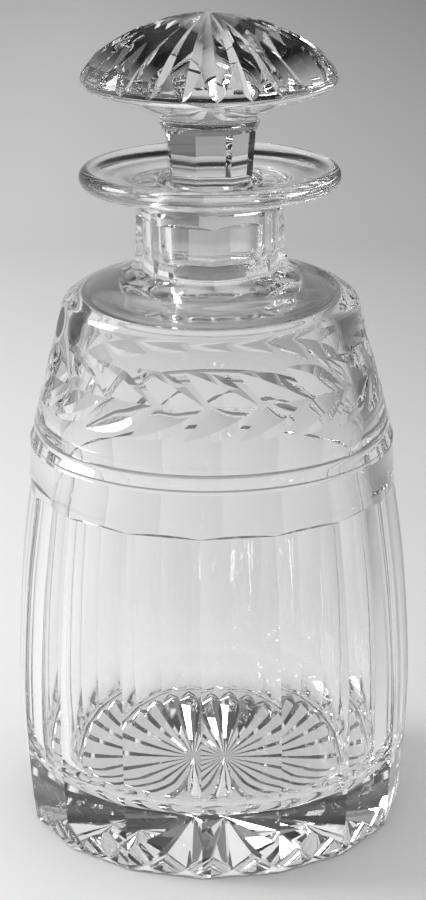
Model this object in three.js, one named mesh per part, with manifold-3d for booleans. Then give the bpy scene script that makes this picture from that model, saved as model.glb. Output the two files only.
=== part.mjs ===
import * as THREE from 'three';
import { mergeVertices } from 'three/addons/utils/BufferGeometryUtils.js';
import Module from 'manifold-3d';

// A cut-glass spirit decanter: one heavy blown body and one ground-in stopper,
// with a small blank round sticker on the shoulder. Millimetres, +Z up, the foot
// on the plane z = 0, the front towards -Y. Turns are degrees from the front to +X.

// The body's heights, stacked from the table upwards.
const fluteHeight = 103.4;
const bandHeight = 13.6;
const ringSpacing = 3.6;
const coneHeight = 35.75;
const shoulderHeight = 11.2;
const neckHeight = 18.4;
const flangeHeight = 9.8;

// The body's outer radii. The belly is the widest, and the body draws in from it
// to the foot, the plain band and both ends of the cone.
const bellyRadius = 59.2;
const footDraw = 2.4;
const bandDraw = 5.2;
const coneBottomDraw = 7;
const coneTopDraw = 16.3;
const neckRadius = 21.4;
const flangeRadius = 37.4;
const flangeRollRadius = 2.8;
const footBevelHeight = 0.8;
const footBevelWidth = 0.8;

// The inside: a smooth blown cavity over a thick base, and a ground, tapered bore
// that opens into the dished top of the mouth.
const baseThickness = 16.5;
const wallThickness = 7.6;
const floorCornerRadius = 12;
const cavityShoulderDrop = 3.5;
const boreRadius = 15;
const boreTaperShare = 0.05;
const boreBelowPlug = 2;
const mouthDishDepth = 3.6;
const mouthEdgeRadius = 0.9;

// The cuts in the body.
const fluteCount = 16;
const fluteTurn = -3.5;
const fluteDepth = 0.15;
const lowerGrooveWidth = 1.5;
const lowerGrooveDepth = 0.45;
const upperGrooveWidth = 2.4;
const upperGrooveDepth = 0.6;
const neckFacetCount = 8;
const neckFacetTurn = 2.5;
const collarHeight = 4.2;
const collarCutDepth = 0.8;
const leafCount = 20;
const leafTurn = -2;
const leafSpan = 24.5;
const leafRise = 9.2;
const leafBow = 1;
const leafDepth = 0.9;
const starRayCount = 24;
const starTurn = -1.5;
const starOverlap = 0.3;
const starTouchShare = 0.865;
const footRingWidth = 4.8;
const starRidgeLift = 0.15;

// The stopper: a mitre-cut mushroom head, an eight-sided shank and a ground plug.
const headRadius = 36.4;
const headHeight = 32.3;
const rimHeight = 14.3;
const rimRadius = 2.6;
const domeBow = 5.8;
const domeOverrise = 0.6;
const undersideDepth = 11.1;
const shankHeight = 10.9;
const shankTopRadius = 13.6;
const shankBottomRadius = 12.4;
const shankFacetCount = 8;
const shankFacetTurn = -17;
const mitreCount = 24;
const mitreTurn = 3.5;
const mitreBow = 3.6;
const mitreTipDrop = 0.6;
const apexLandDepth = 0.15;
const plugLength = 27;
const plugLedgeHeight = 0.8;
const plugEndRadius = 1;
const seatClearance = 0.3;

// The sticker.
const labelRadius = 5.9;
const labelThickness = 0.25;
const labelGap = 0.3;
const labelTurn = -78;
const labelDrop = 4;

// How far a cutting shape runs past the surface that it cuts.
const overrun = 3;

// How finely round shapes are faceted.
const outerSides = 56;
const innerSides = 36;
const labelSides = 20;
const labelRings = 4;

// Radii that follow from the belly.
const footRadius = bellyRadius - footDraw;
const bandRadius = bellyRadius - bandDraw;
const coneBottomRadius = bellyRadius - coneBottomDraw;
const coneTopRadius = bellyRadius - coneTopDraw;
const starOuterRadius = footRadius - footRingWidth;
const starTouchRadius = starOuterRadius * starTouchShare;

// Heights that follow from the stack.
const lowerRingHeight = fluteHeight + bandHeight;
const upperRingHeight = lowerRingHeight + ringSpacing;
const coneBottomHeight = upperRingHeight + upperGrooveWidth / 2;
const coneTopHeight = coneBottomHeight + coneHeight;
const neckBottomHeight = coneTopHeight + shoulderHeight;
const neckTopHeight = neckBottomHeight + neckHeight;
const mouthHeight = neckTopHeight + flangeHeight;
const boreTopHeight = mouthHeight - mouthDishDepth - mouthEdgeRadius;
const plugBottomHeight = boreTopHeight - plugLength;
const boreBottomHeight = plugBottomHeight - boreBelowPlug;
const headBottomHeight = mouthHeight + shankHeight;
const apexHeight = headBottomHeight + headHeight;

const wasm = await Module();
wasm.setup();

// The small tools that every shape below is made with.

const point = (radius, height) => new THREE.Vector2(radius, height);
const radians = THREE.MathUtils.degToRad;
const between = THREE.MathUtils.mapLinear;
const repeat = (count, make) => Array.from({ length: count }, (_, index) => make(index));

function directionAt(turn) {
  return new THREE.Vector3(Math.sin(radians(turn)), -Math.cos(radians(turn)), 0);
}

function solidOf(geometry) {
  const bare = geometry.clone();
  bare.deleteAttribute('normal');
  bare.deleteAttribute('uv');
  const merged = mergeVertices(bare);
  return new wasm.Manifold(new wasm.Mesh({
    numProp: 3,
    vertProperties: merged.attributes.position.array,
    triVerts: new Uint32Array(merged.index.array),
  }));
}

function geometryOf(solid) {
  const mesh = solid.getMesh();
  const geometry = new THREE.BufferGeometry();
  geometry.setAttribute('position', new THREE.BufferAttribute(mesh.vertProperties, 3));
  geometry.setIndex(new THREE.BufferAttribute(mesh.triVerts, 1));
  return geometry;
}

// A solid of revolution about +Z from an outline of (radius, height) points.
function turned(outline, sides) {
  return solidOf(new THREE.LatheGeometry(outline, sides).rotateX(Math.PI / 2));
}

// Points on an arc about a centre, between two angles in degrees.
function arc(centre, radius, from, to, steps) {
  return repeat(steps + 1, (step) => {
    const angle = radians(from + (to - from) * step / steps);
    return point(centre.x + radius * Math.cos(angle), centre.y + radius * Math.sin(angle));
  });
}

// Points on the way between two points, bowed out to the right of it.
function bowed(from, to, bow, steps) {
  const way = to.clone().sub(from);
  const across = point(way.y, -way.x).normalize();
  return repeat(steps + 1, (step) => {
    const share = step / steps;
    return from.clone().addScaledVector(way, share).addScaledVector(across, 4 * share * (1 - share) * bow);
  });
}

function radiusAt(outline, height) {
  const index = outline.findIndex((here, place) => place > 0 && here.y >= height);
  const [low, high] = outline.slice(index - 1, index + 1);
  return between(height, low.y, high.y, low.x, high.x);
}

// Bars that cut flat sides round a solid. The outline is the section of one bar: its
// inner side is the line that the middle of each flat follows.
function flatCutters(outline, count, firstEdgeTurn) {
  const reach = Math.max(...outline.map((here) => here.x));
  const width = 2 * reach * Math.tan(Math.PI / count);
  return repeat(count, (index) => {
    const turn = firstEdgeTurn + (index + 0.5) * 360 / count;
    const bar = new THREE.ExtrudeGeometry(new THREE.Shape(outline), { depth: width, bevelEnabled: false });
    bar.rotateX(Math.PI / 2).translate(0, width / 2, 0).rotateZ(radians(turn - 90));
    return solidOf(bar);
  });
}

// A mitre-wheel cut is a wedge that follows a valley line. Each station has the valley
// point, the way out of the glass, the way of travel and the wedge's height there. The
// run shares are how far its left and right walls run sideways for their height.
function mitreCutter(stations, leftRunShare, rightRunShare) {
  const corners = stations.flatMap(({ valley, out, travel, rise }) => {
    const left = out.clone().cross(travel).normalize();
    const top = valley.clone().addScaledVector(out, rise);
    return [
      valley,
      top.clone().addScaledVector(left, -rise * rightRunShare),
      top.clone().addScaledVector(left, rise * leftRunShare),
    ];
  });
  const sides = repeat(stations.length - 1, (ring) => [0, 1, 2].flatMap((corner) => {
    const here = 3 * ring + corner;
    const beside = 3 * ring + (corner + 1) % 3;
    return [here, here + 3, beside, beside, here + 3, beside + 3];
  })).flat();
  const last = corners.length - 3;
  const geometry = new THREE.BufferGeometry().setFromPoints(corners);
  geometry.setIndex([0, 1, 2, ...sides, last, last + 2, last + 1]);
  return solidOf(geometry);
}

function cutAll(solid, cutters) {
  return cutters.reduce((left, cutter) => left.subtract(cutter), solid);
}

// The belly swells from the foot and draws in to the plain band.
const heelShares = { swell: 0.62, height: 0.16 };
const bellyHeightShare = 0.42;
const hipShares = { swell: 0.64, height: 0.74 };

function bellyOutline() {
  return new THREE.SplineCurve([
    point(footRadius, footBevelHeight),
    point(between(heelShares.swell, 0, 1, footRadius, bellyRadius), fluteHeight * heelShares.height),
    point(bellyRadius, fluteHeight * bellyHeightShare),
    point(between(hipShares.swell, 0, 1, bandRadius, bellyRadius), fluteHeight * hipShares.height),
    point(bandRadius, fluteHeight),
  ]).getPoints(9);
}

// The shoulder turns in over the top of the cone and sweeps up into the neck.
const shoulderShares = [
  { inward: 0.07, upward: 0.17 },
  { inward: 0.3, upward: 0.44 },
  { inward: 0.62, upward: 0.64 },
  { inward: 0.8, upward: 0.78 },
  { inward: 0.94, upward: 0.97 },
  { inward: 1, upward: 1.35 },
];

function shoulderOutline() {
  const stations = shoulderShares.map(({ inward, upward }) => point(
    between(inward, 0, 1, coneTopRadius, neckRadius),
    coneTopHeight + shoulderHeight * upward,
  ));
  return new THREE.SplineCurve([point(coneTopRadius, coneTopHeight), ...stations]).getPoints(8);
}

// Two grooves ring the body between the band and the cone, the upper one the broader.
const ringStepShare = 0.4;

function ringGroove(radius, height, width, depth) {
  return [
    point(radius, height - width / 2),
    point(radius - depth, height),
    point(radius, height + width / 2),
  ];
}

// The mouth is a thick disc with a rolled edge and a dished top.
const undersideOfMouthShares = [
  { outward: 0.06, upward: 0.22 },
  { outward: 0.3, upward: 0.36 },
];
const dishLipShare = 0.25;

function mouthOutline() {
  const rollCentre = point(flangeRadius - flangeRollRadius, mouthHeight - flangeRollRadius);
  const underside = undersideOfMouthShares.map(({ outward, upward }) => point(
    between(outward, 0, 1, neckRadius, flangeRadius),
    neckTopHeight + flangeHeight * upward,
  ));
  return [
    point(neckRadius, neckTopHeight),
    ...underside,
    ...arc(rollCentre, flangeRollRadius, -80, 90, 6),
    point(rollCentre.x - flangeRollRadius, mouthHeight - flangeRollRadius * dishLipShare),
    point(boreRadius + mouthEdgeRadius, mouthHeight - mouthDishDepth),
    point(boreRadius, boreTopHeight),
  ];
}

function bodyOutline() {
  const stepRadius = between(ringStepShare, 0, 1, bandRadius, coneBottomRadius);
  return [
    point(0, 0),
    point(footRadius - footBevelWidth, 0),
    ...bellyOutline(),
    ...ringGroove(stepRadius, lowerRingHeight, lowerGrooveWidth, lowerGrooveDepth),
    ...ringGroove(coneBottomRadius, upperRingHeight, upperGrooveWidth, upperGrooveDepth),
    ...shoulderOutline(),
    ...mouthOutline(),
    point(0, boreTopHeight),
  ];
}

function boreRadiusAt(height) {
  return boreRadius - (boreTopHeight - height) * boreTaperShare;
}

// The cavity keeps one wall inside the body and closes in a dome under the bore.
const cavityDomeShares = [
  { inward: 0.1, upward: 0.3 },
  { inward: 0.42, upward: 0.52 },
  { inward: 0.8, upward: 0.74 },
  { inward: 0.96, upward: 0.9 },
];
const cavityWallSteps = 8;

function cavityOutline() {
  const outside = [...bellyOutline(), point(coneBottomRadius, coneBottomHeight), point(coneTopRadius, coneTopHeight)];
  const wallBottom = baseThickness + floorCornerRadius;
  const wallTop = coneTopHeight - cavityShoulderDrop;
  const wall = repeat(cavityWallSteps + 1, (step) => {
    const height = between(step, 0, cavityWallSteps, wallBottom, wallTop);
    return point(radiusAt(outside, height) - wallThickness, height);
  });
  const domeEdge = wall[cavityWallSteps];
  const boreEnd = point(boreRadiusAt(boreBottomHeight), boreBottomHeight);
  const dome = cavityDomeShares.map(({ inward, upward }) => point(
    between(inward, 0, 1, domeEdge.x, boreEnd.x),
    between(upward, 0, 1, domeEdge.y, boreEnd.y),
  ));
  const corner = point(wall[0].x - floorCornerRadius, wallBottom);
  return [
    point(0, baseThickness),
    ...arc(corner, floorCornerRadius, -90, -15, 4),
    ...wall,
    ...dome,
    boreEnd,
    point(boreRadiusAt(boreTopHeight + overrun), boreTopHeight + overrun),
    point(0, boreTopHeight + overrun),
  ];
}

// Sixteen broad flat flutes run from arched tops down over the bevel of the foot.
function fluteCutters() {
  const inset = Math.cos(Math.PI / fluteCount);
  const outline = [point(footRadius - footBevelWidth, 0), ...bellyOutline()];
  const reach = Math.max(...outline.map((edge) => edge.x)) + overrun;
  const flat = outline.map((edge) => point(edge.x * inset - fluteDepth, edge.y));
  const top = flat[flat.length - 1];
  return flatCutters([
    point(flat[0].x - footBevelWidth, -footBevelHeight),
    ...flat,
    point(reach, top.y + reach - top.x),
    point(reach, -footBevelHeight),
  ], fluteCount, fluteTurn);
}

// Eight facets round the neck run from under the plain collar out into the shoulder.
const facetEndShare = 0.68;
const facetFadeShare = 0.12;
const facetRunOutShare = 1.05;

function neckFacetCutters() {
  const inset = Math.cos(Math.PI / neckFacetCount);
  const end = coneTopHeight + shoulderHeight * facetEndShare;
  const fade = shoulderHeight * facetFadeShare;
  const sweep = shoulderOutline().filter((edge) => edge.y > end);
  const flat = sweep.map((edge) => {
    const share = THREE.MathUtils.clamp((edge.y - sweep[0].y) / fade, 0, 1);
    return point(edge.x * THREE.MathUtils.lerp(facetRunOutShare, inset, share), edge.y);
  });
  const top = point(neckRadius * inset, neckTopHeight - collarHeight);
  const cutEdge = neckRadius + collarCutDepth;
  return flatCutters([
    point(coneTopRadius, flat[0].y),
    ...flat,
    top,
    point(cutEdge, top.y + cutEdge - top.x),
    point(coneTopRadius, top.y + cutEdge - top.x),
  ], neckFacetCount, neckFacetTurn);
}

// Two rows of laurel leaves meet on a stem line half way up the cone. Each leaf is one
// slanting mitre cut from its rounded end to its tip on the stem, with a steep wall away
// from the stem and a broad, shallow wall towards it.
const leafDepthShares = [0.1, 0.65, 1, 0.6, 0];
const leafSteepRunShare = 3;
const leafBroadRunShare = 7;

function leafCutter(tipTurn, side) {
  const stemHeight = (coneBottomHeight + coneTopHeight) / 2;
  const slope = (coneBottomRadius - coneTopRadius) / coneHeight;
  const last = leafDepthShares.length - 1;
  const stations = leafDepthShares.map((depthShare, step) => {
    const left = 1 - step / last;
    const height = stemHeight + side * (leafRise * left + leafBow * 4 * left * (1 - left));
    const direction = directionAt(tipTurn - leafSpan * left);
    const radius = between(height, coneBottomHeight, coneTopHeight, coneBottomRadius, coneTopRadius);
    const out = direction.clone().setZ(slope).normalize();
    const valley = direction.multiplyScalar(radius).setZ(height).addScaledVector(out, -leafDepth * depthShare);
    return { valley, out, rise: leafDepth * (depthShare + 1) };
  });
  stations.forEach((station, step) => {
    const before = stations[Math.max(step - 1, 0)];
    const after = stations[Math.min(step + 1, last)];
    station.travel = after.valley.clone().sub(before.valley);
  });
  const runShares = [leafSteepRunShare, leafBroadRunShare];
  return mitreCutter(stations, ...(side > 0 ? runShares : runShares.reverse()));
}

function leafCutters() {
  return repeat(leafCount, (index) => leafTurn + index * 360 / leafCount)
    .flatMap((tip) => [leafCutter(tip, 1), leafCutter(tip, -1)]);
}

// A star under the base. Its rays keep one depth, so they meet in ridges that slope from
// the centre down to the foot. From there on each ray rises to a point, and the flat
// glass round the points is the ground foot.
const starRunShare = 1.5;
const starTaper = [{ way: 0.35, depthShare: 0.84 }, { way: 0.7, depthShare: 0.5 }, { way: 1, depthShare: 0 }];

function starCutters() {
  const depth = starTouchRadius * Math.tan(Math.PI / starRayCount) / starRunShare + starRidgeLift;
  const line = [
    point(-starOverlap, depth - starOverlap),
    point(0, depth),
    point(starTouchRadius, depth),
    ...starTaper.map(({ way, depthShare }) => point(
      between(way, 0, 1, starTouchRadius, starOuterRadius),
      depth * depthShare,
    )),
  ];
  const down = new THREE.Vector3(0, 0, -1);
  return repeat(starRayCount, (index) => {
    const travel = directionAt(starTurn + index * 360 / starRayCount);
    const stations = line.map((here) => ({
      valley: travel.clone().multiplyScalar(here.x).setZ(here.y),
      out: down,
      travel,
      rise: here.y + footBevelHeight,
    }));
    return mitreCutter(stations, starRunShare, starRunShare);
  });
}

function makeBody() {
  const cutters = [...fluteCutters(), ...neckFacetCutters(), ...leafCutters(), ...starCutters()];
  return cutAll(turned(bodyOutline(), outerSides), cutters).subtract(turned(cavityOutline(), innerSides));
}

// The stopper before it is cut: plug, shank, smooth underside, rolled rim and dome.
const undersideShares = [
  { outward: 0.083, upward: 0.338 },
  { outward: 0.21, upward: 0.5 },
  { outward: 0.535, upward: 0.752 },
];
const domeStartShare = 0.8;

function stopperOutline() {
  const plugEnd = boreRadiusAt(plugBottomHeight) - seatClearance;
  const rimCentre = point(headRadius - rimRadius, headBottomHeight + rimHeight);
  const underside = undersideShares.map(({ outward, upward }) => point(
    between(outward, 0, 1, shankTopRadius, headRadius),
    headBottomHeight + undersideDepth * upward,
  ));
  const domeStart = point(rimCentre.x + rimRadius * domeStartShare, rimCentre.y + rimRadius * domeStartShare);
  const domeTop = point(0, apexHeight + domeOverrise);
  const dome = bowed(domeStart, domeTop, domeBow, 7).filter((here) => here.y < apexHeight);
  return [
    point(0, plugBottomHeight),
    point(plugEnd - plugEndRadius, plugBottomHeight),
    point(plugEnd, plugBottomHeight + plugEndRadius),
    point(boreRadius - seatClearance, boreTopHeight),
    point(shankBottomRadius, boreTopHeight + plugLedgeHeight),
    point(shankTopRadius, headBottomHeight),
    ...underside,
    ...arc(rimCentre, rimRadius, -75, 20, 4),
    ...dome,
    point(0, apexHeight),
  ];
}

// Eight flats on the shank. They start on the ledge of the plug and end under the head.
const shankRunOutShare = 0.1;

function shankCutters() {
  const inset = Math.cos(Math.PI / shankFacetCount);
  const low = point(shankBottomRadius * inset, boreTopHeight + plugLedgeHeight);
  const high = point(shankTopRadius * inset, headBottomHeight);
  return flatCutters([
    point(headRadius, low.y),
    low,
    high,
    point(headRadius, high.y + (headRadius - high.x) * shankRunOutShare),
  ], shankFacetCount, shankFacetTurn);
}

// Mitre cuts run from the rim to the apex. They meet in ridges, and at the rim they
// taper to points that leave triangles of the dome standing.
const mitreRunShare = 2;
const mitreSteps = 5;
const mitreRise = 6;

function mitreCutters() {
  const tip = point(headRadius, headBottomHeight + rimHeight - mitreTipDrop);
  const apex = point(0, apexHeight + apexLandDepth);
  const beyond = point(-domeOverrise, apex.y + domeOverrise / 2);
  const line = [...bowed(tip, apex, mitreBow, mitreSteps), beyond];
  return repeat(mitreCount, (index) => {
    const outward = directionAt(mitreTurn + index * 360 / mitreCount);
    const across = new THREE.Vector3(0, 0, 1).cross(outward);
    const valleys = line.map((here) => outward.clone().multiplyScalar(here.x).setZ(here.y));
    const stations = valleys.map((valley, step) => {
      const before = valleys[Math.max(step - 1, 0)];
      const after = valleys[Math.min(step + 1, valleys.length - 1)];
      const travel = after.clone().sub(before);
      const out = across.clone().cross(travel).normalize();
      return { valley, out, travel, rise: mitreRise };
    });
    return mitreCutter(stations, mitreRunShare, mitreRunShare);
  });
}

function makeStopper() {
  return cutAll(turned(stopperOutline(), outerSides), [...shankCutters(), ...mitreCutters()]);
}

// A thin disc, bent to lie on the top of the cone and the turn of the shoulder.
function makeLabel() {
  const radii = repeat(labelRings + 1, (ring) => labelRadius * ring / labelRings);
  const under = radii.map((radius) => point(radius, 0));
  const over = radii.map((radius) => point(radius, labelThickness)).reverse();
  const flat = new THREE.LatheGeometry([...under, ...over], labelSides).rotateX(Math.PI / 2);
  const glass = [point(coneBottomRadius, coneBottomHeight), ...shoulderOutline()];
  const places = flat.attributes.position;
  for (let index = 0; index < places.count; index += 1) {
    const height = coneTopHeight - labelDrop + places.getY(index);
    const radius = radiusAt(glass, height) + labelGap + places.getZ(index);
    const turn = labelTurn + THREE.MathUtils.radToDeg(places.getX(index) / radius);
    const place = directionAt(turn).multiplyScalar(radius);
    places.setXYZ(index, place.x, place.y, height);
  }
  return solidOf(flat);
}

const crystalLook = { color: 0xf1f4f3, roughness: 0.04, metalness: 0 };
const paperLook = { color: 0xd9dadb, roughness: 0.45, metalness: 0 };

function part(name, solid, look) {
  const mesh = new THREE.Mesh(geometryOf(solid), new THREE.MeshStandardMaterial(look));
  mesh.name = name;
  return mesh;
}

const group = new THREE.Group();
group.add(
  part('decanter_body', makeBody(), crystalLook),
  part('stopper', makeStopper(), crystalLook),
  part('label', makeLabel(), paperLook),
);

export default group;
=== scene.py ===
import math

import bmesh
import bpy
from mathutils import Matrix, Vector


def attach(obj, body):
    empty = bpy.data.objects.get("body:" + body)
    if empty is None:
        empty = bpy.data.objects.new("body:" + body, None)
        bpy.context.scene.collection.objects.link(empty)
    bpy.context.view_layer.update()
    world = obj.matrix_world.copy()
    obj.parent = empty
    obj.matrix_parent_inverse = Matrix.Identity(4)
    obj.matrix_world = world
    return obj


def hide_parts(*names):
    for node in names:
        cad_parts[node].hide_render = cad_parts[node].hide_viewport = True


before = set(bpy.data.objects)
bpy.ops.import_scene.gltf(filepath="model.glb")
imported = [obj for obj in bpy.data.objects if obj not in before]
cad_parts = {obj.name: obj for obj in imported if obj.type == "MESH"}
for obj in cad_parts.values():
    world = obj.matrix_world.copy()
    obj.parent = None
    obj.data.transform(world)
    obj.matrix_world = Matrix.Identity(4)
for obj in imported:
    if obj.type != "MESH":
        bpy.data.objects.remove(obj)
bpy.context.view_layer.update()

# The body: one thick piece of clear lead crystal, blown in a turned mould and annealed.
# Its outside is then cut on wheels and acid polished, its mouth is ground for the
# stopper, and it stands on the ground ring of its foot. All its sizes are in millimetres.
MILLIMETRE = 0.001

FLUTE_HEIGHT = 103.4
LOWER_RING_HEIGHT = 117.0
UPPER_RING_HEIGHT = 120.6
CONE_BOTTOM_HEIGHT = 121.8
CONE_TOP_HEIGHT = 157.55
SHOULDER_HEIGHT = 11.2
NECK_TOP_HEIGHT = 187.15
FLANGE_HEIGHT = 9.8
MOUTH_HEIGHT = 196.95

FOOT_RADIUS = 56.8
BELLY_RADIUS = 59.2
BAND_RADIUS = 54.0
CONE_BOTTOM_RADIUS = 52.2
CONE_TOP_RADIUS = 42.9
NECK_RADIUS = 21.4
FLANGE_RADIUS = 37.4
FLANGE_ROLL_RADIUS = 2.8
FOOT_BEVEL = 0.8

BASE_THICKNESS = 16.5
WALL_THICKNESS = 7.6
FLOOR_CORNER_RADIUS = 12.0
CAVITY_SHOULDER_DROP = 3.5
BORE_RADIUS = 15.0
BORE_TAPER = 0.05
MOUTH_DISH_DEPTH = 3.6
MOUTH_EDGE_RADIUS = 0.9
BORE_LIP = 0.1
BORE_TOP_HEIGHT = MOUTH_HEIGHT - MOUTH_DISH_DEPTH - MOUTH_EDGE_RADIUS
BORE_BOTTOM_HEIGHT = 163.45

FLUTE_COUNT = 16
FLUTE_TURN = -3.5
FLUTE_DEPTH = 0.15
LOWER_GROOVE = (1.5, 0.45)
UPPER_GROOVE = (2.4, 0.6)
GROOVE_FLANK_WIDTH_SHARE = 0.15
GROOVE_FLANK_DEPTH_SHARE = 0.85
LOWER_GROOVE_STEP_SHARE = 0.4
NECK_FACET_COUNT = 8
NECK_FACET_TURN = 2.5
NECK_FACET_END_SHARE = 0.68
NECK_FACET_RUN_OUT_SHARE = 0.12
NECK_FACET_CLEAR_SHARE = 1.05
COLLAR_HEIGHT = 4.2
COLLAR_CUT = 0.8
LEAF_COUNT = 20
LEAF_TURN = -2.0
LEAF_SPAN = 24.5
LEAF_RISE = 9.2
LEAF_BOW = 1.0
LEAF_DEPTH = 0.9
LEAF_DEPTH_SHARES = ((0, 0.1), (0.25, 0.65), (0.5, 1), (0.75, 0.6), (1, 0))
LEAF_STEEP_RUN = 3.0
LEAF_BROAD_RUN = 7.0
STAR_COUNT = 24
STAR_TURN = -1.5
STAR_OVERLAP = 0.3
STAR_OUTER_RADIUS = 52.0
STAR_TOUCH_RADIUS = 45.0
STAR_RIDGE_LIFT = 0.15
STAR_RUN = 1.5
STAR_TAPER_SHARES = ((0.35, 0.84), (0.7, 0.5), (1, 0))
OVERRUN = 3.0

# How finely each curve is drawn: the number of its steps, or of its sides round the axis.
BODY_SIDES = 256
CAVITY_SIDES = 192
BELLY_STEPS = 40
SHOULDER_STEPS = 48
MOUTH_UNDERSIDE_STEPS = 18
MOUTH_ROLL_STEPS = 24
MOUTH_DISH_STEPS = 24
FLOOR_CORNER_STEPS = 14
CAVITY_WALL_STEPS = 8
CAVITY_STEPS = 120
LEAF_STEPS = 16
STAR_TAPER_STEPS = 9

# Each face keeps the number of the tool that made it, so that two faces from different
# tools meet in a crisp edge. Neighbouring cuts of one kind take turns with two numbers.
BLOWN, FOOT, CAVITY, SEAT = 0, 1, 2, 3
FLUTES, FACETS, MITRES, STAR = (4, 5), (6, 7), (8, 9), (10, 11)
TOOL_COUNT = 12
SMOOTH_LIMIT = math.radians(20)
SHADING_STEP = 1.5
WELD_DISTANCE = 0.002


def direction(turn):
    """The way out from the axis, for a turn in degrees from the front towards +X."""
    return Vector((math.sin(math.radians(turn)), -math.cos(math.radians(turn)), 0.0))


def between(share, start, end):
    """The value that lies at a share of the way from start to end."""
    return start + (end - start) * share


def spline(points, steps):
    """A smooth curve through all the points, as steps + 1 points of (radius, height)."""
    last = len(points) - 1
    line = []
    for step in range(steps + 1):
        place = last * step / steps
        index = min(int(place), last - 1)
        way = place - index
        before, start, end, after = (
            Vector(points[min(max(index + offset, 0), last)]) for offset in (-1, 0, 1, 2))
        leave, arrive = (end - before) / 2, (after - start) / 2
        line.append(start + leave * way
                    + (3 * (end - start) - 2 * leave - arrive) * way ** 2
                    + (2 * (start - end) + leave + arrive) * way ** 3)
    return line


def arc(centre, radius, start, end, steps):
    """Points on a round, from one angle to another, in degrees up from straight outwards."""
    angles = [math.radians(between(step / steps, start, end)) for step in range(steps + 1)]
    return [(centre[0] + radius * math.cos(angle), centre[1] + radius * math.sin(angle))
            for angle in angles]


def ruled(start, end):
    """Places between the ends of a straight side, so close that it is shaded straight."""
    count = math.ceil(math.dist(start, end) / SHADING_STEP)
    return [tuple(Vector(start).lerp(Vector(end), index / count)) for index in range(1, count)]


def radius_at(outline, height):
    """How far from the axis an outline that only rises is, at a height."""
    for low, high in zip(outline, outline[1:]):
        if high[1] >= height:
            return between((height - low[1]) / (high[1] - low[1]), low[0], high[0])
    return outline[-1][0]


def solid(name, corners, faces, tools):
    """A closed mesh in metres, whose faces carry the numbers of their tools."""
    mesh = bpy.data.meshes.new(name)
    mesh.from_pydata([Vector(corner) * MILLIMETRE for corner in corners], [], faces)
    for _ in range(TOOL_COUNT):
        mesh.materials.append(None)
    mesh.polygons.foreach_set("material_index", tools)
    piece = bpy.data.objects.new(name, mesh)
    bpy.context.scene.collection.objects.link(piece)
    return piece


def turned(name, outline, sides, tool_at):
    """A solid of revolution, from an outline that starts and ends on the axis."""
    corners, rings, faces, tools = [], [], [], []
    for radius, height in outline:
        count = sides if radius > 0 else 1
        rings.append([len(corners) + side for side in range(count)])
        corners += [direction(360 * side / count) * radius + Vector((0, 0, height))
                    for side in range(count)]
    for low, high in zip(range(len(rings)), range(1, len(rings))):
        for side in range(sides):
            ring = [rings[low][side % len(rings[low])], rings[low][(side + 1) % len(rings[low])],
                    rings[high][(side + 1) % len(rings[high])], rings[high][side % len(rings[high])]]
            faces.append(list(dict.fromkeys(ring)))
            tools.append(tool_at(outline[low], outline[high]))
    return solid(name, corners, faces, tools)


def flat_cutters(name, section, count, first_turn, tools):
    """Bars that cut flat sides: the section's inner side is the middle line of each flat."""
    reach = max(radius for radius, _ in section)
    half = reach * math.tan(math.pi / count)
    size = len(section)
    bars = []
    for index in range(count):
        out = direction(first_turn + (index + 0.5) * 360 / count)
        across = Vector((0, 0, 1)).cross(out)
        corners = [out * radius + across * side + Vector((0, 0, height))
                   for side in (-half, half) for radius, height in section]
        faces = [list(range(size - 1, -1, -1)), list(range(size, 2 * size))]
        for corner in range(size):
            beside = (corner + 1) % size
            faces.append([corner, beside, beside + size, corner + size])
        bars.append(solid(name, corners, faces, [tools[index % 2]] * len(faces)))
    return bars


def mitre_cutter(name, stations, left_run, right_run, tools):
    """A wedge along a valley line. A station is (valley point, way out, height of the
    wedge); the runs are how far its walls lean to the left and right for their height."""
    corners = []
    for index, (valley, out, rise) in enumerate(stations):
        travel = stations[min(index + 1, len(stations) - 1)][0] - stations[max(index - 1, 0)][0]
        left = out.cross(travel).normalized()
        top = valley + out * rise
        corners += [valley, top - left * rise * right_run, top + left * rise * left_run]
    faces, numbers = [[0, 1, 2]], [tools[0]]
    for ring in range(0, len(corners) - 3, 3):
        for corner, tool in ((0, tools[1]), (1, tools[0]), (2, tools[0])):
            here, beside = ring + corner, ring + (corner + 1) % 3
            faces.append([here, here + 3, beside + 3, beside])
            numbers.append(tool)
    faces.append([len(corners) - 3, len(corners) - 1, len(corners) - 2])
    numbers.append(tools[0])
    return solid(name, corners, faces, numbers)


def cut(piece, cutters):
    """Takes all the cutters out of the piece in one Boolean, and then drops them."""
    shapes = bpy.data.collections.new("cutters")
    bpy.context.scene.collection.children.link(shapes)
    for cutter in cutters:
        bpy.context.scene.collection.objects.unlink(cutter)
        shapes.objects.link(cutter)
    modifier = piece.modifiers.new("cuts", "BOOLEAN")
    modifier.operation = "DIFFERENCE"
    modifier.operand_type = "COLLECTION"
    modifier.collection = shapes
    modifier.solver = "MANIFOLD"
    graph = bpy.context.evaluated_depsgraph_get()
    mesh = bpy.data.meshes.new_from_object(piece.evaluated_get(graph))
    piece.modifiers.clear()
    piece.data = mesh
    for cutter in cutters:
        bpy.data.meshes.remove(cutter.data)
    bpy.data.collections.remove(shapes)


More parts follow.
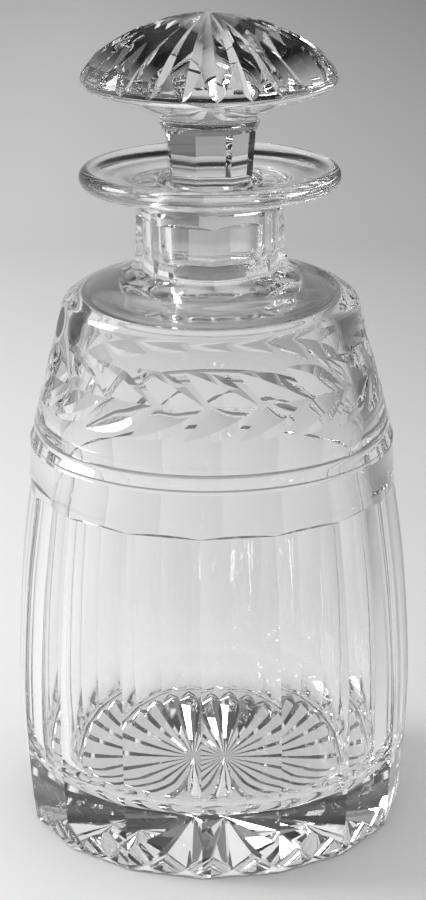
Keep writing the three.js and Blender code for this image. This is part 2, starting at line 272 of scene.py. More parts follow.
def polish(piece, finishes):
    """Keeps crisp edges where two tools met, smooths the rest, and gives each face the
    finish of its tool: finishes maps a material to the numbers of its tools."""
    shape = bmesh.new()
    shape.from_mesh(piece.data)
    bmesh.ops.remove_doubles(shape, verts=shape.verts, dist=WELD_DISTANCE * MILLIMETRE)
    bmesh.ops.dissolve_degenerate(shape, edges=shape.edges, dist=WELD_DISTANCE * MILLIMETRE)
    for edge in shape.edges:
        tools = {face.material_index for face in edge.link_faces}
        edge.smooth = len(tools) == 1 and edge.calc_face_angle(0.0) < SMOOTH_LIMIT
    slot_of = {tool: slot for slot, tools in enumerate(finishes.values()) for tool in tools}
    for face in shape.faces:
        face.smooth = True
        face.material_index = slot_of[face.material_index]
    shape.to_mesh(piece.data)
    shape.free()
    piece.data.materials.clear()
    for finish in finishes:
        piece.data.materials.append(finish)


def belly_line():
    """The fluted side, from the foot's bevel to the plain band. A row has the radius that
    the side swells from, the share of the swell that is reached, and that of the height."""
    shares = ((FOOT_RADIUS, 0.62, 0.16), (BELLY_RADIUS, 1, 0.42), (BAND_RADIUS, 0.64, 0.74))
    return spline([
        (FOOT_RADIUS, FOOT_BEVEL),
        *((between(swell, end, BELLY_RADIUS), FLUTE_HEIGHT * upward)
          for end, swell, upward in shares),
        (BAND_RADIUS, FLUTE_HEIGHT),
    ], BELLY_STEPS)


def shoulder_line():
    """The smooth shoulder, from the top of the cone in to the neck."""
    shares = ((0, 0), (0.07, 0.17), (0.3, 0.44), (0.62, 0.64), (0.8, 0.78), (0.94, 0.97), (1, 1.35))
    return spline([
        (between(inward, CONE_TOP_RADIUS, NECK_RADIUS), CONE_TOP_HEIGHT + SHOULDER_HEIGHT * upward)
        for inward, upward in shares], SHOULDER_STEPS)


def ring_groove(radius, height, size):
    """A shallow groove with a blunt floor, cut all round the body."""
    width, depth = size
    flank_radius = radius - depth * GROOVE_FLANK_DEPTH_SHARE
    flank_reach = width * GROOVE_FLANK_WIDTH_SHARE
    return [
        (radius, height - width / 2),
        (flank_radius, height - flank_reach),
        (radius - depth, height),
        (flank_radius, height + flank_reach),
        (radius, height + width / 2),
    ]


def mouth_line():
    """The mouth's disc: its underside, its rolled edge, and the dish down to the bore."""
    under_shares = ((0.06, 0.22), (0.3, 0.36))
    dish_share, dish_drop_share = 0.45, 0.6
    roll_from, roll_to, roll_end_share = -80, 90, 0.25
    roll = (FLANGE_RADIUS - FLANGE_ROLL_RADIUS, MOUTH_HEIGHT - FLANGE_ROLL_RADIUS)
    edge = arc(roll, FLANGE_ROLL_RADIUS, roll_from, roll_to, MOUTH_ROLL_STEPS)
    under = spline([
        (NECK_RADIUS, NECK_TOP_HEIGHT),
        *((between(outward, NECK_RADIUS, FLANGE_RADIUS), NECK_TOP_HEIGHT + FLANGE_HEIGHT * upward)
          for outward, upward in under_shares),
        edge[0],
    ], MOUTH_UNDERSIDE_STEPS)
    dish = spline([
        edge[-1],
        (roll[0] - FLANGE_ROLL_RADIUS, MOUTH_HEIGHT - FLANGE_ROLL_RADIUS * roll_end_share),
        (between(dish_share, roll[0], BORE_RADIUS), MOUTH_HEIGHT - MOUTH_DISH_DEPTH * dish_drop_share),
        (BORE_RADIUS + MOUTH_EDGE_RADIUS, MOUTH_HEIGHT - MOUTH_DISH_DEPTH),
        (BORE_RADIUS + BORE_LIP, BORE_TOP_HEIGHT),
    ], MOUTH_DISH_STEPS)
    return under + edge[1:-1] + dish


def body_line():
    """The whole outside, from the middle of the foot to the middle of the closed mouth."""
    step_radius = between(LOWER_GROOVE_STEP_SHARE, BAND_RADIUS, CONE_BOTTOM_RADIUS)
    sides = [
        belly_line(),
        ring_groove(step_radius, LOWER_RING_HEIGHT, LOWER_GROOVE),
        ring_groove(CONE_BOTTOM_RADIUS, UPPER_RING_HEIGHT, UPPER_GROOVE),
        shoulder_line(),
        mouth_line(),
    ]
    line = [(0, 0), (FOOT_RADIUS - FOOT_BEVEL, 0), *sides[0]]
    for side in sides[1:]:
        line += [*ruled(line[-1], side[0]), *side]
    return [*line, (0, BORE_TOP_HEIGHT)]


def bore_radius_at(height):
    return BORE_RADIUS - (BORE_TOP_HEIGHT - height) * BORE_TAPER


def cavity_line():
    """The inside and the bore: a flat floor with a round corner, a wall that follows the
    outside, a dome that closes in, and the ground taper, which runs out past the mouth."""
    cone = [(CONE_BOTTOM_RADIUS, CONE_BOTTOM_HEIGHT), (CONE_TOP_RADIUS, CONE_TOP_HEIGHT)]
    outside = belly_line() + cone
    wall_bottom = BASE_THICKNESS + FLOOR_CORNER_RADIUS
    wall_top = CONE_TOP_HEIGHT - CAVITY_SHOULDER_DROP
    heights = [between(step / CAVITY_WALL_STEPS, wall_bottom, wall_top)
               for step in range(CAVITY_WALL_STEPS + 1)]
    wall = [(radius_at(outside, height) - WALL_THICKNESS, height) for height in heights]
    bore_end = (bore_radius_at(BORE_BOTTOM_HEIGHT), BORE_BOTTOM_HEIGHT)
    dome_shares = ((0.1, 0.3), (0.42, 0.52), (0.8, 0.74), (0.96, 0.9), (1, 1))
    dome = [(between(inward, wall[-1][0], bore_end[0]), between(upward, wall_top, BORE_BOTTOM_HEIGHT))
            for inward, upward in dome_shares]
    corner_from, corner_to = -90, -8
    corner = (wall[0][0] - FLOOR_CORNER_RADIUS, wall_bottom)
    top = BORE_TOP_HEIGHT + OVERRUN
    return [
        (0, BASE_THICKNESS),
        *arc(corner, FLOOR_CORNER_RADIUS, corner_from, corner_to, FLOOR_CORNER_STEPS),
        *spline(wall + dome, CAVITY_STEPS),
        (bore_radius_at(top), top),
        (0, top),
    ]


def flute_cutters():
    """Bars that follow the belly and run out above it, so that each flute ends in a curve."""
    inset = math.cos(math.pi / FLUTE_COUNT)
    flat = [(radius * inset - FLUTE_DEPTH, height)
            for radius, height in [(FOOT_RADIUS - FOOT_BEVEL, 0), *belly_line()]]
    reach = BELLY_RADIUS + OVERRUN
    return flat_cutters("flute", [
        (flat[0][0] - FOOT_BEVEL, -FOOT_BEVEL),
        *flat,
        (reach, flat[-1][1] + reach - flat[-1][0]),
        (reach, -FOOT_BEVEL),
    ], FLUTE_COUNT, FLUTE_TURN, FLUTES)


def neck_facet_cutters():
    """Bars that flatten the neck, from where they run out on the shoulder to the collar."""
    inset = math.cos(math.pi / NECK_FACET_COUNT)
    end = CONE_TOP_HEIGHT + SHOULDER_HEIGHT * NECK_FACET_END_SHARE
    sweep = [place for place in shoulder_line() if place[1] > end]
    run_out = SHOULDER_HEIGHT * NECK_FACET_RUN_OUT_SHARE
    flat = []
    for radius, height in sweep:
        share = min(max((height - sweep[0][1]) / run_out, 0), 1)
        flat.append((radius * between(share, NECK_FACET_CLEAR_SHARE, inset), height))
    top = (NECK_RADIUS * inset, NECK_TOP_HEIGHT - COLLAR_HEIGHT)
    edge = NECK_RADIUS + COLLAR_CUT
    return flat_cutters("facet", [
        (CONE_TOP_RADIUS, flat[0][1]),
        *flat,
        top,
        (edge, top[1] + edge - top[0]),
        (CONE_TOP_RADIUS, top[1] + edge - top[0]),
    ], NECK_FACET_COUNT, NECK_FACET_TURN, FACETS)


def leaf_cutter(tip_turn, side):
    """One leaf: a slanting mitre from its rounded end to its tip on the stem line."""
    stem = (CONE_BOTTOM_HEIGHT + CONE_TOP_HEIGHT) / 2
    slope = (CONE_BOTTOM_RADIUS - CONE_TOP_RADIUS) / (CONE_TOP_HEIGHT - CONE_BOTTOM_HEIGHT)
    stations = []
    for way, depth_share in spline(LEAF_DEPTH_SHARES, LEAF_STEPS):
        left = 1 - way
        height = stem + side * (LEAF_RISE * left + LEAF_BOW * 4 * left * (1 - left))
        out = direction(tip_turn - LEAF_SPAN * left)
        share = (height - CONE_BOTTOM_HEIGHT) / (CONE_TOP_HEIGHT - CONE_BOTTOM_HEIGHT)
        place = out * between(share, CONE_BOTTOM_RADIUS, CONE_TOP_RADIUS) + Vector((0, 0, height))
        out = (out + Vector((0, 0, slope))).normalized()
        stations.append((place - out * LEAF_DEPTH * depth_share, out, LEAF_DEPTH * (depth_share + 1)))
    runs = (LEAF_STEEP_RUN, LEAF_BROAD_RUN) if side > 0 else (LEAF_BROAD_RUN, LEAF_STEEP_RUN)
    return mitre_cutter("leaf", stations, *runs, MITRES)


def star_cutters():
    """Rays of one depth that meet in ridges. The ridges slope from the centre down to the
    foot, and from there on each ray rises to a point by the foot ring."""
    depth = STAR_TOUCH_RADIUS * math.tan(math.pi / STAR_COUNT) / STAR_RUN + STAR_RIDGE_LIFT
    taper = spline([(STAR_TOUCH_RADIUS, depth), *(
        (between(way, STAR_TOUCH_RADIUS, STAR_OUTER_RADIUS), depth * share)
        for way, share in STAR_TAPER_SHARES)], STAR_TAPER_STEPS)
    line = [(-STAR_OVERLAP, depth - STAR_OVERLAP), (0, depth), *ruled((0, depth), taper[0]), *taper]
    cutters = []
    for index in range(STAR_COUNT):
        out = direction(STAR_TURN + index * 360 / STAR_COUNT)
        stations = [(out * radius + Vector((0, 0, height)), Vector((0, 0, -1)), height + FOOT_BEVEL)
                    for radius, height in line]
        cutters.append(mitre_cutter("ray", stations, STAR_RUN, STAR_RUN, STAR))
    return cutters


def wave_group():
    """Slow swells that blowing leaves in glass, and the finer ripple of acid polishing."""
    group = bpy.data.node_groups.new("glass_waves", "ShaderNodeTree")
    for name in ("Swell Scale", "Ripple Scale", "Ripple Share"):
        group.interface.new_socket(name, in_out="INPUT", socket_type="NodeSocketFloat")
    group.interface.new_socket("Height", in_out="OUTPUT", socket_type="NodeSocketFloat")
    nodes, links = group.nodes, group.links
    given, made = nodes.new("NodeGroupInput"), nodes.new("NodeGroupOutput")
    place = nodes.new("ShaderNodeTexCoord")
    swell, ripple = nodes.new("ShaderNodeTexNoise"), nodes.new("ShaderNodeTexNoise")
    swell.inputs["Detail"].default_value = 1.0
    ripple.inputs["Detail"].default_value = 2.0
    both = nodes.new("ShaderNodeMath")
    both.operation = "MULTIPLY_ADD"
    for noise, scale in ((swell, "Swell Scale"), (ripple, "Ripple Scale")):
        links.new(place.outputs["Object"], noise.inputs["Vector"])
        links.new(given.outputs[scale], noise.inputs["Scale"])
    links.new(ripple.outputs["Fac"], both.inputs[0])
    links.new(given.outputs["Ripple Share"], both.inputs[1])
    links.new(swell.outputs["Fac"], both.inputs[2])
    links.new(both.outputs["Value"], made.inputs["Height"])
    return group


def grind_group():
    """Fine marks in uneven clouds, as a roughness between a clean and a marked value."""
    group = bpy.data.node_groups.new("fine_marks", "ShaderNodeTree")
    for name in ("Clean Roughness", "Marked Roughness", "Marks Scale"):
        group.interface.new_socket(name, in_out="INPUT", socket_type="NodeSocketFloat")
    group.interface.new_socket("Roughness", in_out="OUTPUT", socket_type="NodeSocketFloat")
    nodes, links = group.nodes, group.links
    given, made = nodes.new("NodeGroupInput"), nodes.new("NodeGroupOutput")
    place = nodes.new("ShaderNodeTexCoord")
    marks, level = nodes.new("ShaderNodeTexNoise"), nodes.new("ShaderNodeMapRange")
    marks.inputs["Detail"].default_value = 6.0
    marks.inputs["Roughness"].default_value = 0.7
    level.inputs["From Min"].default_value = 0.55
    level.inputs["From Max"].default_value = 0.8
    links.new(place.outputs["Object"], marks.inputs["Vector"])
    links.new(given.outputs["Marks Scale"], marks.inputs["Scale"])
    links.new(marks.outputs["Fac"], level.inputs["Value"])
    links.new(given.outputs["Clean Roughness"], level.inputs["To Min"])
    links.new(given.outputs["Marked Roughness"], level.inputs["To Max"])
    links.new(level.outputs["Result"], made.inputs["Roughness"])
    return group


GLASS_WAVES = wave_group()
FINE_MARKS = grind_group()
LEAD_CRYSTAL_IOR = 1.545


def crystal(name, clearness, clean, marked, marks_scale, swell_scale, ripple_scale, ripple_share, lift):
    """Lead crystal, of which a ground face passes less light than a polished one. The lift
    is the height of its waves in millimetres."""
    material = bpy.data.materials.new(name)
    material.use_nodes = True
    nodes, links = material.node_tree.nodes, material.node_tree.links
    shader = nodes["Principled BSDF"]
    shader.inputs["Base Color"].default_value = (clearness, clearness, clearness, 1)
    shader.inputs["IOR"].default_value = LEAD_CRYSTAL_IOR
    shader.inputs["Transmission Weight"].default_value = 1.0
    marks = nodes.new("ShaderNodeGroup")
    marks.node_tree = FINE_MARKS
    marks.inputs["Clean Roughness"].default_value = clean
    marks.inputs["Marked Roughness"].default_value = marked
    marks.inputs["Marks Scale"].default_value = marks_scale
    links.new(marks.outputs["Roughness"], shader.inputs["Roughness"])
    waves = nodes.new("ShaderNodeGroup")
    waves.node_tree = GLASS_WAVES
    waves.inputs["Swell Scale"].default_value = swell_scale
    waves.inputs["Ripple Scale"].default_value = ripple_scale
    waves.inputs["Ripple Share"].default_value = ripple_share
    bump = nodes.new("ShaderNodeBump")
    bump.inputs["Strength"].default_value = 1.0
    bump.inputs["Distance"].default_value = lift * MILLIMETRE
    links.new(waves.outputs["Height"], bump.inputs["Height"])
    links.new(bump.outputs["Normal"], shader.inputs["Normal"])
    return material


BODY_CLEARNESS = 0.985
GROUND_CLEARNESS = 0.84
BLOWN_SURFACE = dict(
    clean=0.0, marked=0.03, marks_scale=60,
    swell_scale=22, ripple_scale=260, ripple_share=0.03, lift=0.15)
CUT_SURFACE = dict(
    clean=0.0, marked=0.03, marks_scale=90,
    swell_scale=35, ripple_scale=300, ripple_share=0.05, lift=0.06)
CAVITY_SURFACE = dict(
    clean=0.0, marked=0.02, marks_scale=40,
    swell_scale=26, ripple_scale=160, ripple_share=0.05, lift=0.3)
GROUND_SURFACE = dict(
    clean=0.75, marked=0.85, marks_scale=400,
    swell_scale=60, ripple_scale=3000, ripple_share=0.5, lift=0.02)
BLOWN_CRYSTAL = crystal("blown_crystal", BODY_CLEARNESS, **BLOWN_SURFACE)
CUT_CRYSTAL = crystal("cut_crystal", BODY_CLEARNESS, **CUT_SURFACE)
CAVITY_CRYSTAL = crystal("cavity_crystal", BODY_CLEARNESS, **CAVITY_SURFACE)
GROUND_CRYSTAL = crystal("ground_crystal", GROUND_CLEARNESS, **GROUND_SURFACE)


def body_tool(low, high):
    """The tool for the strip between two places of the outline."""
    return FOOT if low[1] == high[1] == 0 else BLOWN


def cavity_tool(low, high):
    return SEAT if min(low[1], high[1]) >= BORE_BOTTOM_HEIGHT else CAVITY


body = turned("body_glass", body_line(), BODY_SIDES, body_tool)
leaf_tips = [LEAF_TURN + index * 360 / LEAF_COUNT for index in range(LEAF_COUNT)]
cut(body, [
    turned("inside", cavity_line(), CAVITY_SIDES, cavity_tool),
    *flute_cutters(),
    *neck_facet_cutters(),
    *[leaf_cutter(tip, side) for tip in leaf_tips for side in (1, -1)],
    *star_cutters(),
])
polish(body, {
    BLOWN_CRYSTAL: (BLOWN,),
    CUT_CRYSTAL: (*FLUTES, *FACETS, *MITRES, *STAR),
    CAVITY_CRYSTAL: (CAVITY,),
    GROUND_CRYSTAL: (SEAT, FOOT),
})
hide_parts("decanter_body")
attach(body, "body")

# The stopper: solid lead crystal, pressed, then cut on top into 24 mitres and on its
# shank into eight flats. Its plug is ground to fit the bore, and it only rests there.
HEAD_RADIUS = 36.4
HEAD_BOTTOM_HEIGHT = 207.85
APEX_HEIGHT = 240.15
RIM_HEIGHT = 14.3
RIM_RADIUS = 2.6
RIM_FROM, RIM_TO = -75, 40
DOME_BOW = 5.8
DOME_OVERRISE = 0.6
UNDERSIDE_DEPTH = 11.1
UNDERSIDE_SHARES = ((0.083, 0.338), (0.21, 0.5), (0.535, 0.752))
SHANK_TOP_RADIUS = 13.6
SHANK_BOTTOM_RADIUS = 12.4
PLUG_LEDGE_HEIGHT = 0.8
SHANK_FACET_COUNT = 8
SHANK_FACET_TURN = -17
SHANK_FACET_END_SLOPE = 0.1
MITRE_COUNT = 24
MITRE_TURN = 3.5
MITRE_BOW = 3.6
MITRE_TIP_DROP = 0.6
MITRE_CUTTER_HEIGHT = 6.0
MITRE_RUN = 2.0
APEX_LAND = 0.15
PLUG_BOTTOM_HEIGHT = 165.45
PLUG_END_RADIUS = 1.0
SEAT_CLEARANCE = 0.06
STOPPER_SIDES = 192
PLUG_END_STEPS = 6
UNDERSIDE_STEPS = 36
RIM_STEPS = 18
DOME_STEPS = 48
MITRE_STEPS = 12


def bowed(start, end, bow, steps):
    """Points on the way between two points, bowed out to the right of it."""
    start, end = Vector(start), Vector(end)
    across = Vector(((end - start).y, -(end - start).x)).normalized()
    shares = [step / steps for step in range(steps + 1)]
    return [start.lerp(end, share) + across * 4 * share * (1 - share) * bow for share in shares]


def stopper_line():
    """The whole outside, from the plug's end to the top of the head."""
    plug_end = bore_radius_at(PLUG_BOTTOM_HEIGHT) - SEAT_CLEARANCE
    plug_corner = (plug_end - PLUG_END_RADIUS, PLUG_BOTTOM_HEIGHT + PLUG_END_RADIUS)
    rim = (HEAD_RADIUS - RIM_RADIUS, HEAD_BOTTOM_HEIGHT + RIM_HEIGHT)
    edge = arc(rim, RIM_RADIUS, RIM_FROM, RIM_TO, RIM_STEPS)
    under = spline([(SHANK_TOP_RADIUS, HEAD_BOTTOM_HEIGHT), *(
        (between(outward, SHANK_TOP_RADIUS, HEAD_RADIUS), HEAD_BOTTOM_HEIGHT + UNDERSIDE_DEPTH * upward)
        for outward, upward in UNDERSIDE_SHARES), edge[0]], UNDERSIDE_STEPS)
    dome = bowed(edge[-1], (0, APEX_HEIGHT + DOME_OVERRISE), DOME_BOW, DOME_STEPS)
    return [
        (0, PLUG_BOTTOM_HEIGHT),
        *arc(plug_corner, PLUG_END_RADIUS, -90, 0, PLUG_END_STEPS),
        (BORE_RADIUS - SEAT_CLEARANCE, BORE_TOP_HEIGHT),
        (SHANK_BOTTOM_RADIUS, BORE_TOP_HEIGHT + PLUG_LEDGE_HEIGHT),
        *under,
        *edge[1:],
        *[place for place in dome[1:] if place[1] < APEX_HEIGHT],
        (0, APEX_HEIGHT),
    ]


def stopper_tool(low, high):
    return SEAT if max(low[1], high[1]) <= BORE_TOP_HEIGHT else BLOWN


def shank_cutters():
    """Bars that flatten the shank, from the ledge over the plug to just under the head."""
    inset = math.cos(math.pi / SHANK_FACET_COUNT)
    low = (SHANK_BOTTOM_RADIUS * inset, BORE_TOP_HEIGHT + PLUG_LEDGE_HEIGHT)
    high = (SHANK_TOP_RADIUS * inset, HEAD_BOTTOM_HEIGHT)
    return flat_cutters("shank_flat", [
        (HEAD_RADIUS, low[1]),
        low,
        high,
        (HEAD_RADIUS, high[1] + (HEAD_RADIUS - high[0]) * SHANK_FACET_END_SLOPE),
    ], SHANK_FACET_COUNT, SHANK_FACET_TURN, FACETS)


def mitre_cutters():
    """Wedges from points on the rim up over the head, where they meet at the apex."""
    tip = (HEAD_RADIUS, HEAD_BOTTOM_HEIGHT + RIM_HEIGHT - MITRE_TIP_DROP)
    apex = (0, APEX_HEIGHT + APEX_LAND)
    past_apex = Vector((-DOME_OVERRISE, apex[1] + DOME_OVERRISE / 2))
    line = [*bowed(tip, apex, MITRE_BOW, MITRE_STEPS), past_apex]
    cutters = []
    for index in range(MITRE_COUNT):
        outward = direction(MITRE_TURN + index * 360 / MITRE_COUNT)
        across = Vector((0, 0, 1)).cross(outward)
        valleys = [outward * radius + Vector((0, 0, height)) for radius, height in line]
        stations = []
        for step, valley in enumerate(valleys):
            travel = valleys[min(step + 1, len(valleys) - 1)] - valleys[max(step - 1, 0)]
            stations.append((valley, across.cross(travel).normalized(), MITRE_CUTTER_HEIGHT))
        cutters.append(mitre_cutter("mitre", stations, MITRE_RUN, MITRE_RUN, MITRES))
    return cutters


# The stopper's glass is made a little less clear than the body's, as its darker head shows.
STOPPER_CLEARNESS = 0.925
PRESSED_CRYSTAL = crystal("pressed_crystal", STOPPER_CLEARNESS, **BLOWN_SURFACE)
STOPPER_CUT_CRYSTAL = crystal("stopper_cut_crystal", STOPPER_CLEARNESS, **CUT_SURFACE)

stopper = turned("stopper_glass", stopper_line(), STOPPER_SIDES, stopper_tool)
cut(stopper, shank_cutters() + mitre_cutters())
polish(stopper, {
    PRESSED_CRYSTAL: (BLOWN,),
    STOPPER_CUT_CRYSTAL: (*FACETS, *MITRES),
    GROUND_CRYSTAL: (SEAT,),
})
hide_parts("stopper")
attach(stopper, "stopper")

# The sticker: a small, plain round punched from silvered paper, with one embossed ring. It
# is glued over the top of the cone, where the glass turns in to the shoulder.
LABEL_RADIUS = 5.9
LABEL_THICKNESS = 0.12
LABEL_GAP = 0.03
LABEL_TURN = -78
LABEL_DROP = 4.0
LABEL_RING_RADIUS = 4.6
LABEL_RING_WIDTH = 0.45
LABEL_RING_RISE = 0.06
LABEL_SIDES, LABEL_RINGS = 96, 40
PUNCHED = 0
FOIL_MIDDLE_RADIUS, FOIL_EDGE_RADIUS = 4.2, 4.8
FOIL_MIDDLE_TONE, FOIL_EDGE_TONE = 0.16, 0.66
FOIL_GRAIN_RISE = 0.01


def label_shape():
    """A thin disc in rings, embossed with one plain ring and bent to lie on the glass."""
    glass = [(CONE_BOTTOM_RADIUS, CONE_BOTTOM_HEIGHT), *shoulder_line()]
    radii = [LABEL_RADIUS * ring / LABEL_RINGS for ring in range(LABEL_RINGS + 1)]
    outline = [(radius, 0) for radius in radii]
    for radius in reversed(radii):
        off = min(abs(radius - LABEL_RING_RADIUS) / LABEL_RING_WIDTH, 1)
        outline.append((radius, LABEL_THICKNESS + LABEL_RING_RISE * (1 - off * off)))
    label = turned("sticker", outline, LABEL_SIDES, lambda low, high: PUNCHED)
    for corner in label.data.vertices:
        flat = corner.co / MILLIMETRE
        height = CONE_TOP_HEIGHT - LABEL_DROP + flat.y
        radius = radius_at(glass, height) + LABEL_GAP + flat.z
        out = direction(LABEL_TURN + math.degrees(flat.x / radius))
        corner.co = (out * radius + Vector((0, 0, height))) * MILLIMETRE
    return label


def combined(tree, operation, first, second):
    """What a Math node makes of the values of two other nodes."""
    node = tree.nodes.new("ShaderNodeMath")
    node.operation = operation
    tree.links.new(first, node.inputs[0])
    tree.links.new(second, node.inputs[1])
    return node.outputs["Value"]


def ramp_of(tree, value, low, high, at_low, at_high, smooth=False):
    """A value that goes from at_low to at_high while the given value goes from low to high."""
    node = tree.nodes.new("ShaderNodeMapRange")
    node.interpolation_type = "SMOOTHSTEP" if smooth else "LINEAR"
    tree.links.new(value, node.inputs["Value"])
    for name, number in (("From Min", low), ("From Max", high), ("To Min", at_low), ("To Max", at_high)):
        node.inputs[name].default_value = number
    return node.outputs["Result"]


def silvered_paper(centre):
    """Silver foil on paper: dull and darker in the middle, bright on the rim, with the
    paper's grain in its tone, its roughness and its surface."""
    material = bpy.data.materials.new("silvered_paper")
    material.use_nodes = True
    tree = material.node_tree
    nodes, links = tree.nodes, tree.links
    shader = nodes["Principled BSDF"]
    shader.inputs["Metallic"].default_value = 0.6
    place = nodes.new("ShaderNodeTexCoord")
    off_centre, grain = nodes.new("ShaderNodeVectorMath"), nodes.new("ShaderNodeTexNoise")
    off_centre.operation = "DISTANCE"
    off_centre.inputs[1].default_value = centre
    grain.inputs["Scale"].default_value = 2500
    grain.inputs["Detail"].default_value = 4
    links.new(place.outputs["Object"], off_centre.inputs[0])
    links.new(place.outputs["Object"], grain.inputs["Vector"])
    foil = ramp_of(tree, off_centre.outputs["Value"],
                   low=FOIL_MIDDLE_RADIUS * MILLIMETRE, high=FOIL_EDGE_RADIUS * MILLIMETRE,
                   at_low=FOIL_MIDDLE_TONE, at_high=FOIL_EDGE_TONE, smooth=True)
    rough = ramp_of(tree, grain.outputs["Fac"], low=0.3, high=0.7, at_low=0.25, at_high=0.5)
    tone = ramp_of(tree, grain.outputs["Fac"], low=0.3, high=0.7, at_low=0.85, at_high=1.1)
    links.new(combined(tree, "MULTIPLY", foil, tone), shader.inputs["Base Color"])
    links.new(rough, shader.inputs["Roughness"])
    bump = nodes.new("ShaderNodeBump")
    bump.inputs["Distance"].default_value = FOIL_GRAIN_RISE * MILLIMETRE
    links.new(grain.outputs["Fac"], bump.inputs["Height"])
    links.new(bump.outputs["Normal"], shader.inputs["Normal"])
    return material


label = label_shape()
SILVERED_PAPER = silvered_paper(label.data.vertices[0].co.copy())
polish(label, {SILVERED_PAPER: (PUNCHED,)})
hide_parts("label")
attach(label, "body")

# The studio: pale paper, in metres, lies flat under the decanter and sweeps up all round
# it. Painted shade fades its colour from white in front to grey behind and on the right,
# and in the glass a painted shadow lies under the foot and painted shade darkens the paper
# towards the camera and up the sweep.
SWEEP_RADIUS = 0.8
SWEEP_START = 2.6
SWEEP_SIDES = 96
SWEEP_STEPS = 24
FLOOR_DROP = 0.0002
GLOW_IN_GLASS = 0.94


def paper_sheet():
    """A flat round floor in metres, whose edge rises in a quarter of a circle."""
    rises = [math.radians(90 * step / SWEEP_STEPS) for step in range(SWEEP_STEPS + 1)]
    corners = [direction(360 * side / SWEEP_SIDES) * (SWEEP_START + SWEEP_RADIUS * math.sin(rise))
               + Vector((0, 0, SWEEP_RADIUS * (1 - math.cos(rise)) - FLOOR_DROP))
               for rise in rises for side in range(SWEEP_SIDES)]
    faces = [list(range(SWEEP_SIDES))]
    for ring in range(0, len(corners) - SWEEP_SIDES, SWEEP_SIDES):
        for side in range(SWEEP_SIDES):
            here, beside = ring + side, ring + (side + 1) % SWEEP_SIDES
            faces.append([here, here + SWEEP_SIDES, beside + SWEEP_SIDES, beside])
    mesh = bpy.data.meshes.new("paper_sweep")
    mesh.from_pydata(corners, [], faces)
    mesh.shade_smooth()
    return mesh


def seen_in_glass(tree):
    """1 for a ray that glass mirrors or lets through, and 0 for one that sees directly."""
    light_path = tree.nodes.new("ShaderNodeLightPath")
    return combined(tree, "MAXIMUM", light_path.outputs["Is Glossy Ray"],
                    light_path.outputs["Is Transmission Ray"])


def sweep_paper():
    """Matt paper whose colour carries painted shade: it darkens by its place in metres from the
    decanter. Glass sees the same painted tones, with a painted shadow under the foot and
    painted shade towards the camera and up the sweep, as a plain glow, so that no shadow or
    lamp changes them."""
    material = bpy.data.materials.new("sweep_paper")
    material.use_nodes = True
    tree = material.node_tree
    nodes, links = tree.nodes, tree.links
    shader = nodes["Principled BSDF"]
    shader.inputs["Roughness"].default_value = 0.9
    shader.inputs["Specular IOR Level"].default_value = 0.1
    place, parts = nodes.new("ShaderNodeTexCoord"), nodes.new("ShaderNodeSeparateXYZ")
    links.new(place.outputs["Object"], parts.inputs["Vector"])
    rightward, backward, upward = (parts.outputs[name] for name in "XYZ")
    # Painted shade: the paper's colour darkens towards the back and towards the right, away from the
    # window.
    near_painted_shade = ramp_of(tree, backward, low=0.05, high=0.7, at_low=0.94, at_high=0.555)
    far_painted_shade = ramp_of(tree, backward, low=0.8, high=1.7, at_low=1.0, at_high=0.75)
    right_painted_shade = ramp_of(tree, rightward, low=-0.12, high=0.4, at_low=1.0, at_high=0.38)
    tone = combined(tree, "MULTIPLY", combined(tree, "MULTIPLY", near_painted_shade, far_painted_shade), right_painted_shade)
    links.new(tone, shader.inputs["Base Color"])

    off_axis = nodes.new("ShaderNodeVectorMath")
    off_axis.operation = "LENGTH"
    links.new(place.outputs["Object"], off_axis.inputs[0])
    # Painted shade for what glass sees: a painted shadow under the foot, and the paper darker towards
    # the camera and up the sweep.
    front_fade = ramp_of(tree, backward, low=-0.5, high=-0.15, at_low=0.3, at_high=1.0)
    painted_foot_shadow = ramp_of(tree, off_axis.outputs["Value"], low=0.045, high=0.07, at_low=0.72, at_high=1.0)
    upward_painted_shade = ramp_of(tree, upward, low=0.05, high=0.6, at_low=1.1, at_high=0.75)
    shade = combined(tree, "MULTIPLY", combined(tree, "MULTIPLY", upward_painted_shade, front_fade), painted_foot_shadow)
    glow, either = nodes.new("ShaderNodeEmission"), nodes.new("ShaderNodeMixShader")
    glow.inputs["Strength"].default_value = GLOW_IN_GLASS
    links.new(combined(tree, "MULTIPLY", tone, shade), glow.inputs["Color"])
    links.new(seen_in_glass(tree), either.inputs["Fac"])
    links.new(shader.outputs["BSDF"], either.inputs[1])
    links.new(glow.outputs["Emission"], either.inputs[2])
    links.new(either.outputs["Shader"], nodes["Material Output"].inputs["Surface"])
    return material


sheet = paper_sheet()
sweep = bpy.data.objects.new("paper_sweep", sheet)
bpy.context.scene.collection.objects.link(sweep)
sheet.materials.append(sweep_paper())

# The room: an even light falls on matt surfaces. Glass shows a room in its place, with
# paler walls under a dark ceiling, still darker towards the camera, and a faint light
# straight overhead.
EVEN_LIGHT = 0.84


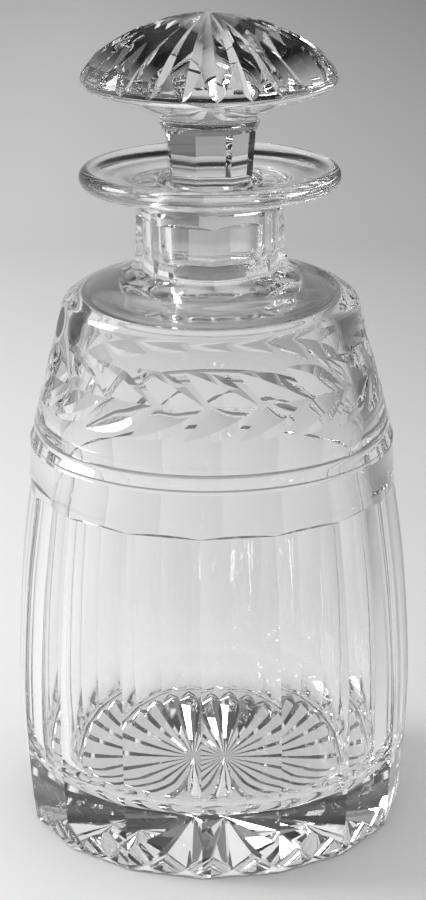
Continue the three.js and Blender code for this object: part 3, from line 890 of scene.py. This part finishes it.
def studio_room():
    world = bpy.data.worlds.new("studio")
    world.use_nodes = True
    tree = world.node_tree
    place, parts = tree.nodes.new("ShaderNodeTexCoord"), tree.nodes.new("ShaderNodeSeparateXYZ")
    tree.links.new(place.outputs["Generated"], parts.inputs["Vector"])
    backward, upward = parts.outputs["Y"], parts.outputs["Z"]
    low_room = ramp_of(tree, upward, low=0.0, high=0.35, at_low=0.38, at_high=0.18)
    high_room = ramp_of(tree, upward, low=0.35, high=0.62, at_low=1.0, at_high=0.06)
    front_fade = ramp_of(tree, backward, low=-0.5, high=0.2, at_low=0.1, at_high=1.0)
    overhead = ramp_of(tree, upward, low=0.8, high=0.95, at_low=0.0, at_high=0.04)
    walls = combined(tree, "MULTIPLY", combined(tree, "MULTIPLY", low_room, high_room), front_fade)
    tone = tree.nodes.new("ShaderNodeMix")
    tone.inputs["A"].default_value = EVEN_LIGHT
    tree.links.new(seen_in_glass(tree), tone.inputs["Factor"])
    tree.links.new(combined(tree, "ADD", walls, overhead), tone.inputs["B"])
    tree.links.new(tone.outputs["Result"], tree.nodes["Background"].inputs["Color"])
    return world


bpy.context.scene.world = studio_room()

# The window: one broad, soft light from the left, high up and a little behind the
# decanter, which throws the pale shadow to the right of the foot.
WINDOW_SPREAD = 28
WINDOW_STRENGTH = 1.7
WINDOW_WAY = (2.8, -0.56, -1.6)

window = bpy.data.lights.new("window", "SUN")
window.angle = math.radians(WINDOW_SPREAD)
window.energy = WINDOW_STRENGTH
holder = bpy.data.objects.new("window", window)
holder.rotation_mode = "QUATERNION"
holder.rotation_quaternion = Vector(WINDOW_WAY).to_track_quat("-Z", "Y")
bpy.context.scene.collection.objects.link(holder)

# The camera: it looks down at the front of the decanter, as in the photograph. It is placed
# in metres and turned in degrees, and light may pass through many faces of cut glass.
CAMERA_PLACE = (0.00035, -0.6823, 0.3435)
CAMERA_DIP = 18.78
CAMERA_ROLL = -0.39
CAMERA_LENS = 97.6
CAMERA_NEAREST = 0.01

camera_data = bpy.data.cameras.new("camera")
camera_data.lens = CAMERA_LENS
camera_data.sensor_width = 36
camera_data.clip_start = CAMERA_NEAREST
camera = bpy.data.objects.new("camera", camera_data)
camera.matrix_world = (Matrix.Translation(CAMERA_PLACE)
                       @ Matrix.Rotation(math.radians(90 - CAMERA_DIP), 4, "X")
                       @ Matrix.Rotation(math.radians(CAMERA_ROLL), 4, "Z"))
bpy.context.scene.collection.objects.link(camera)
bpy.context.scene.camera = camera

scene = bpy.context.scene
scene.view_settings.view_transform = "Standard"
scene.cycles.max_bounces = 24
scene.cycles.transmission_bounces = 24
scene.cycles.glossy_bounces = 16
scene.cycles.diffuse_bounces = 4
scene.cycles.use_denoising = True
